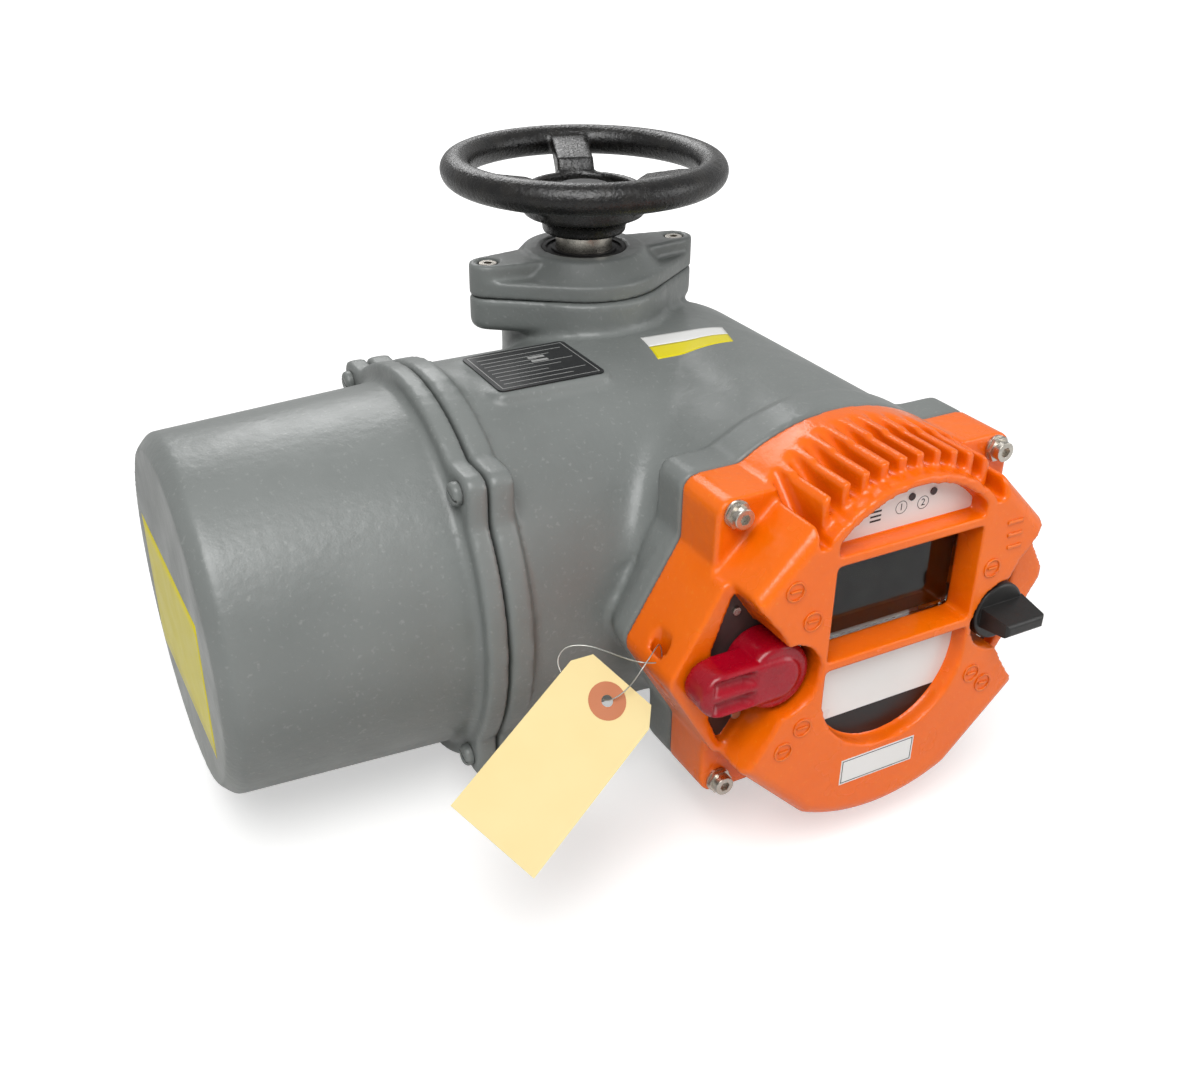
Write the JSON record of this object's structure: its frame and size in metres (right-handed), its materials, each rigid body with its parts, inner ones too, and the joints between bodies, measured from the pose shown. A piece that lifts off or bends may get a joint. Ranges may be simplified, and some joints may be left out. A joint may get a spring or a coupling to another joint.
{
  "type": "multi-turn electric actuator",
  "caption": "Multi-turn electric actuator with hand wheel, motor cover, worm drive, declutch lever, and an orange control cover with a display window and selector knobs.",
  "frame": {"origin": "centre of the base mounting face, on the drive axis", "axes": "+Z along the drive axis from the valve towards the hand wheel; the motor lies towards -X and the control cover faces -Y"},
  "size_m": [0.534, 0.455, 0.3896],
  "materials": {
    "housing_paint": "grey sprayed enamel on cast aluminium, semi-gloss",
    "orange_paint": "orange powder coat on cast aluminium, glossy",
    "wheel_enamel": "black enamel brushed over a sand casting, glossy",
    "zinc_steel": "zinc plated",
    "painted_screw": "screw painted over with the housing",
    "stainless": "machined stainless steel",
    "ground_steel": "ground and polished",
    "lamination": "stacked electrical steel",
    "copper": "enamelled copper wire",
    "bronze": "machined bronze",
    "seal_rubber": "moulded nitrile",
    "display_glass": "clear toughened glass over a dark display",
    "black_plastic": "moulded glass-filled nylon",
    "red_plastic": "moulded, glossy",
    "label_white": "printed polyester label",
    "dark_plate": "dark anodised sheet",
    "board": "circuit board"
  },
  "bodies": {
    "root": {"base_seal": "seal_rubber", "bearing_cap": "housing_paint", "board_pillars": "stainless", "cap_bearing": "ground_steel", "cap_screws": "painted_screw", "conduit_plug": "zinc_steel", "control_board": "board", "control_cover": "orange_paint", "control_cover_screws": "stainless", "cover_gasket": "seal_rubber", "cover_washers": "stainless", "display_glass": "display_glass", "display_module": "black_plastic", "indicator_label": "label_white", "knob_plates": "dark_plate", "lower_label": "label_white", "main_housing": "housing_paint", "motor_bearings": "ground_steel", "motor_cover": "housing_paint", "motor_cover_gasket": "seal_rubber", "motor_cover_screws": "painted_screw", "motor_stator": "lamination", "name_plate": "dark_plate", "plate_screws": "stainless", "shaft_seal": "seal_rubber", "sleeve_bearings": "ground_steel", "spring_pack": "ground_steel", "stator_windings": "copper", "stop_pins": "ground_steel", "terminal_block": "board", "terminal_cover": "housing_paint", "terminal_screws": "stainless"},
    "drive": {"worm_wheel": "bronze", "drive_sleeve": "ground_steel", "stem_nut": "bronze"},
    "motor_train": {"motor_rotor": "lamination", "worm_shaft": "ground_steel"},
    "handwheel": {"handwheel": "wheel_enamel", "handwheel_tube": "ground_steel", "handwheel_key": "ground_steel", "hub_nut": "zinc_steel", "stem_cap": "wheel_enamel"},
    "clutch": {"clutch_ring": "ground_steel"},
    "declutch": {"declutch_shaft": "ground_steel", "declutch_lever": "wheel_enamel"},
    "red_selector": {"red_knob": "red_plastic"},
    "black_selector": {"black_knob": "black_plastic"}
  },
  "joints": [
    {"name": "motor_turn", "type": "hinge", "parent": "root", "child": "motor_train", "pos_m": [0, -0.079, 0.145], "axis": [1, 0, 0], "continuous": true},
    {"name": "drive_turn", "type": "hinge", "parent": "root", "child": "drive", "pos_m": [0, 0, 0.145], "axis": [0, 0, 1], "continuous": true},
    {"name": "handwheel_turn", "type": "hinge", "parent": "root", "child": "handwheel", "pos_m": [0, 0, 0.37875], "axis": [0, 0, 1], "continuous": true},
    {"name": "lever_swing", "type": "hinge", "parent": "root", "child": "declutch", "pos_m": [0, 0.06, 0.22911], "axis": [0, -1, 0], "range_deg": [0, 30]},
    {"name": "clutch_lift", "type": "slide", "parent": "drive", "child": "clutch", "axis": [0, 0, 1], "range_m": [0, 0.00625]},
    {"name": "red_turn", "type": "hinge", "parent": "root", "child": "red_selector", "pos_m": [-0.0345, -0.3, 0.151], "axis": [0, -1, 0], "range_deg": [-30, 30]},
    {"name": "black_turn", "type": "hinge", "parent": "root", "child": "black_selector", "pos_m": [0.1335, -0.3, 0.151], "axis": [0, -1, 0], "range_deg": [-45, 45], "stiffness_Nm_per_rad": 0.2}
  ],
  "couplings": [
    {"joint": "drive_turn", "follows": "motor_turn", "ratio": -0.025},
    {"joint": "clutch_lift", "follows": "lever_swing", "m_per_rad": 0.011863}
  ]
}
